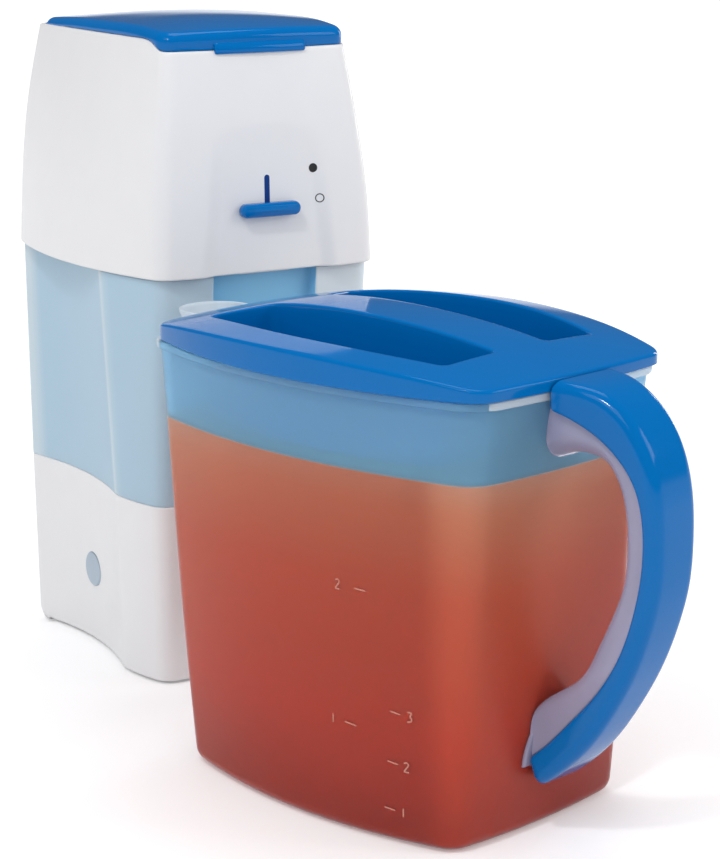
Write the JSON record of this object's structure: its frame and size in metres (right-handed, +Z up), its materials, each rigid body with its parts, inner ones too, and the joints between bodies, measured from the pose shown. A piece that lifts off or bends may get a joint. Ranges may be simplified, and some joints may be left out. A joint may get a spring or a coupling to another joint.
{
  "type": "iced tea maker",
  "caption": "Iced tea maker: upright brewing tower with translucent reservoir and hinged lid, and a clear rectangular pitcher with looped handle and lift-off lid.",
  "frame": {"origin": "middle of the pair's footprint, on the table", "axes": "+Z up; the tower faces -Y with the pitcher in front of it; +X to the right seen from the front"},
  "size_m": [0.1621, 0.4255, 0.3102],
  "materials": {
    "blue_gloss": "opaque royal blue moulding, glossy",
    "white_gloss": "opaque white moulding, glossy",
    "white_underside": "white moulding, unpolished",
    "feet_rubber": "soft black rubber",
    "gland_rubber": "pale elastomer",
    "screw_steel": "zinc-plated steel",
    "bracket_steel": "pressed steel",
    "button_silver": "pale silver-blue moulding, satin gloss",
    "switch_black": "black moulding",
    "lamp_amber": "amber lens",
    "heater_aluminium": "die-cast aluminium",
    "tank_clear_blue": "translucent pale blue moulding",
    "tube_white": "white moulding",
    "hose_silicone": "milky silicone",
    "basket_frosted": "frosted clear moulding",
    "screen_steel": "fine etched steel",
    "pitcher_clear_blue": "clear moulding with a light blue tint",
    "handle_frosted": "frosted translucent moulding"
  },
  "bodies": {
    "base_unit": {"base_shell": "white_gloss", "base_plate": "white_underside", "rubber_feet": "feet_rubber", "base_screws": "screw_steel", "cord_gland": "gland_rubber", "power_switch": "switch_black", "pilot_lamp": "lamp_amber", "switch_bracket": "bracket_steel", "heater_casting": "heater_aluminium", "heater_water_tube": "heater_aluminium", "heater_bracket": "bracket_steel", "thermostat": "switch_black", "thermal_fuse": "screw_steel", "reservoir": "tank_clear_blue", "reservoir_seals": "gland_rubber", "riser_tube": "tube_white", "riser_grommet": "gland_rubber", "inlet_valve": "tube_white", "inlet_hose": "hose_silicone", "outlet_hose": "hose_silicone"},
    "power_button_group": {"power_button": "button_silver"},
    "brew_unit": {"brew_housing": "white_gloss", "hinge_pin": "screw_steel", "housing_floor": "white_gloss", "steeping_basket": "basket_frosted", "filter_screen": "screen_steel", "drip_chute": "white_gloss", "water_spout": "tube_white", "spray_head": "tube_white", "gate_guide": "tube_white"},
    "strength_slider": {"strength_knob": "blue_gloss", "strength_gate": "tube_white"},
    "tower_lid_group": {"tower_lid": "blue_gloss"},
    "pitcher": {"pitcher_body": "pitcher_clear_blue", "handle_core": "handle_frosted", "handle_grip": "blue_gloss"},
    "pitcher_lid_group": {"pitcher_lid": "blue_gloss"}
  },
  "joints": [
    {"name": "power_button_press", "type": "slide", "parent": "base_unit", "child": "power_button_group", "axis": [1, 0, 0], "range_m": [0, 0.0016], "stiffness_N_per_m": 900},
    {"name": "brew_unit_lift", "type": "slide", "parent": "base_unit", "child": "brew_unit", "axis": [0, 0, 1], "range_m": [0, 0.15]},
    {"name": "strength_slide", "type": "slide", "parent": "brew_unit", "child": "strength_slider", "axis": [0, 0, 1], "range_m": [0, 0.014]},
    {"name": "tower_lid_hinge", "type": "hinge", "parent": "brew_unit", "child": "tower_lid_group", "pos_m": [0.0109, 0.2081, 0.3002], "axis": [-1, 0, 0], "range_deg": [0, 100]},
    {"name": "pitcher_lift", "type": "slide", "parent": "base_unit", "child": "pitcher", "axis": [0, 0, 1], "range_m": [0, 0.25]},
    {"name": "pitcher_lid_lift", "type": "slide", "parent": "pitcher", "child": "pitcher_lid_group", "axis": [0, 0, 1], "range_m": [0, 0.1]}
  ]
}
